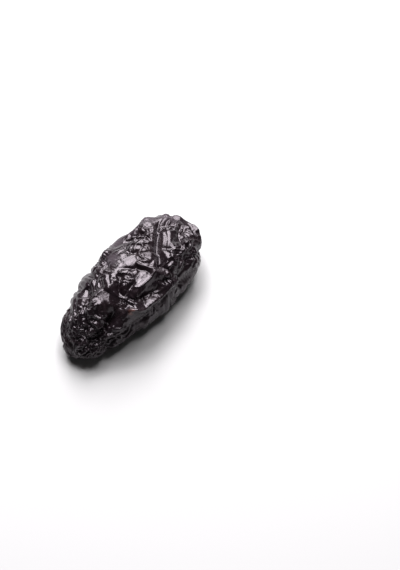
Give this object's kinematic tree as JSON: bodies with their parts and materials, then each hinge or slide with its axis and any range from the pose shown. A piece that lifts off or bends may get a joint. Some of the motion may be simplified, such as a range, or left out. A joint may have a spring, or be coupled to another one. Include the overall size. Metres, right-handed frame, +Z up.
{
  "type": "prune",
  "caption": "Whole dried plum: an elongated near-black fruit with deeply folded, glossy wrinkled skin, lying on its broad side.",
  "frame": {"origin": "on the surface the fruit lies on, under the middle of its bounding box", "axes": "+X along the fruit's length, from the blossom end to the stem end; +Z up, away from the flat spot it lies on; +Y across the fruit"},
  "size_m": [0.0418, 0.0194, 0.0137],
  "materials": {
    "dried_skin": "near-black, folded and glossy with a sugary sheen"
  },
  "bodies": {
    "root": {"prune": "dried_skin"}
  },
  "joints": []
}
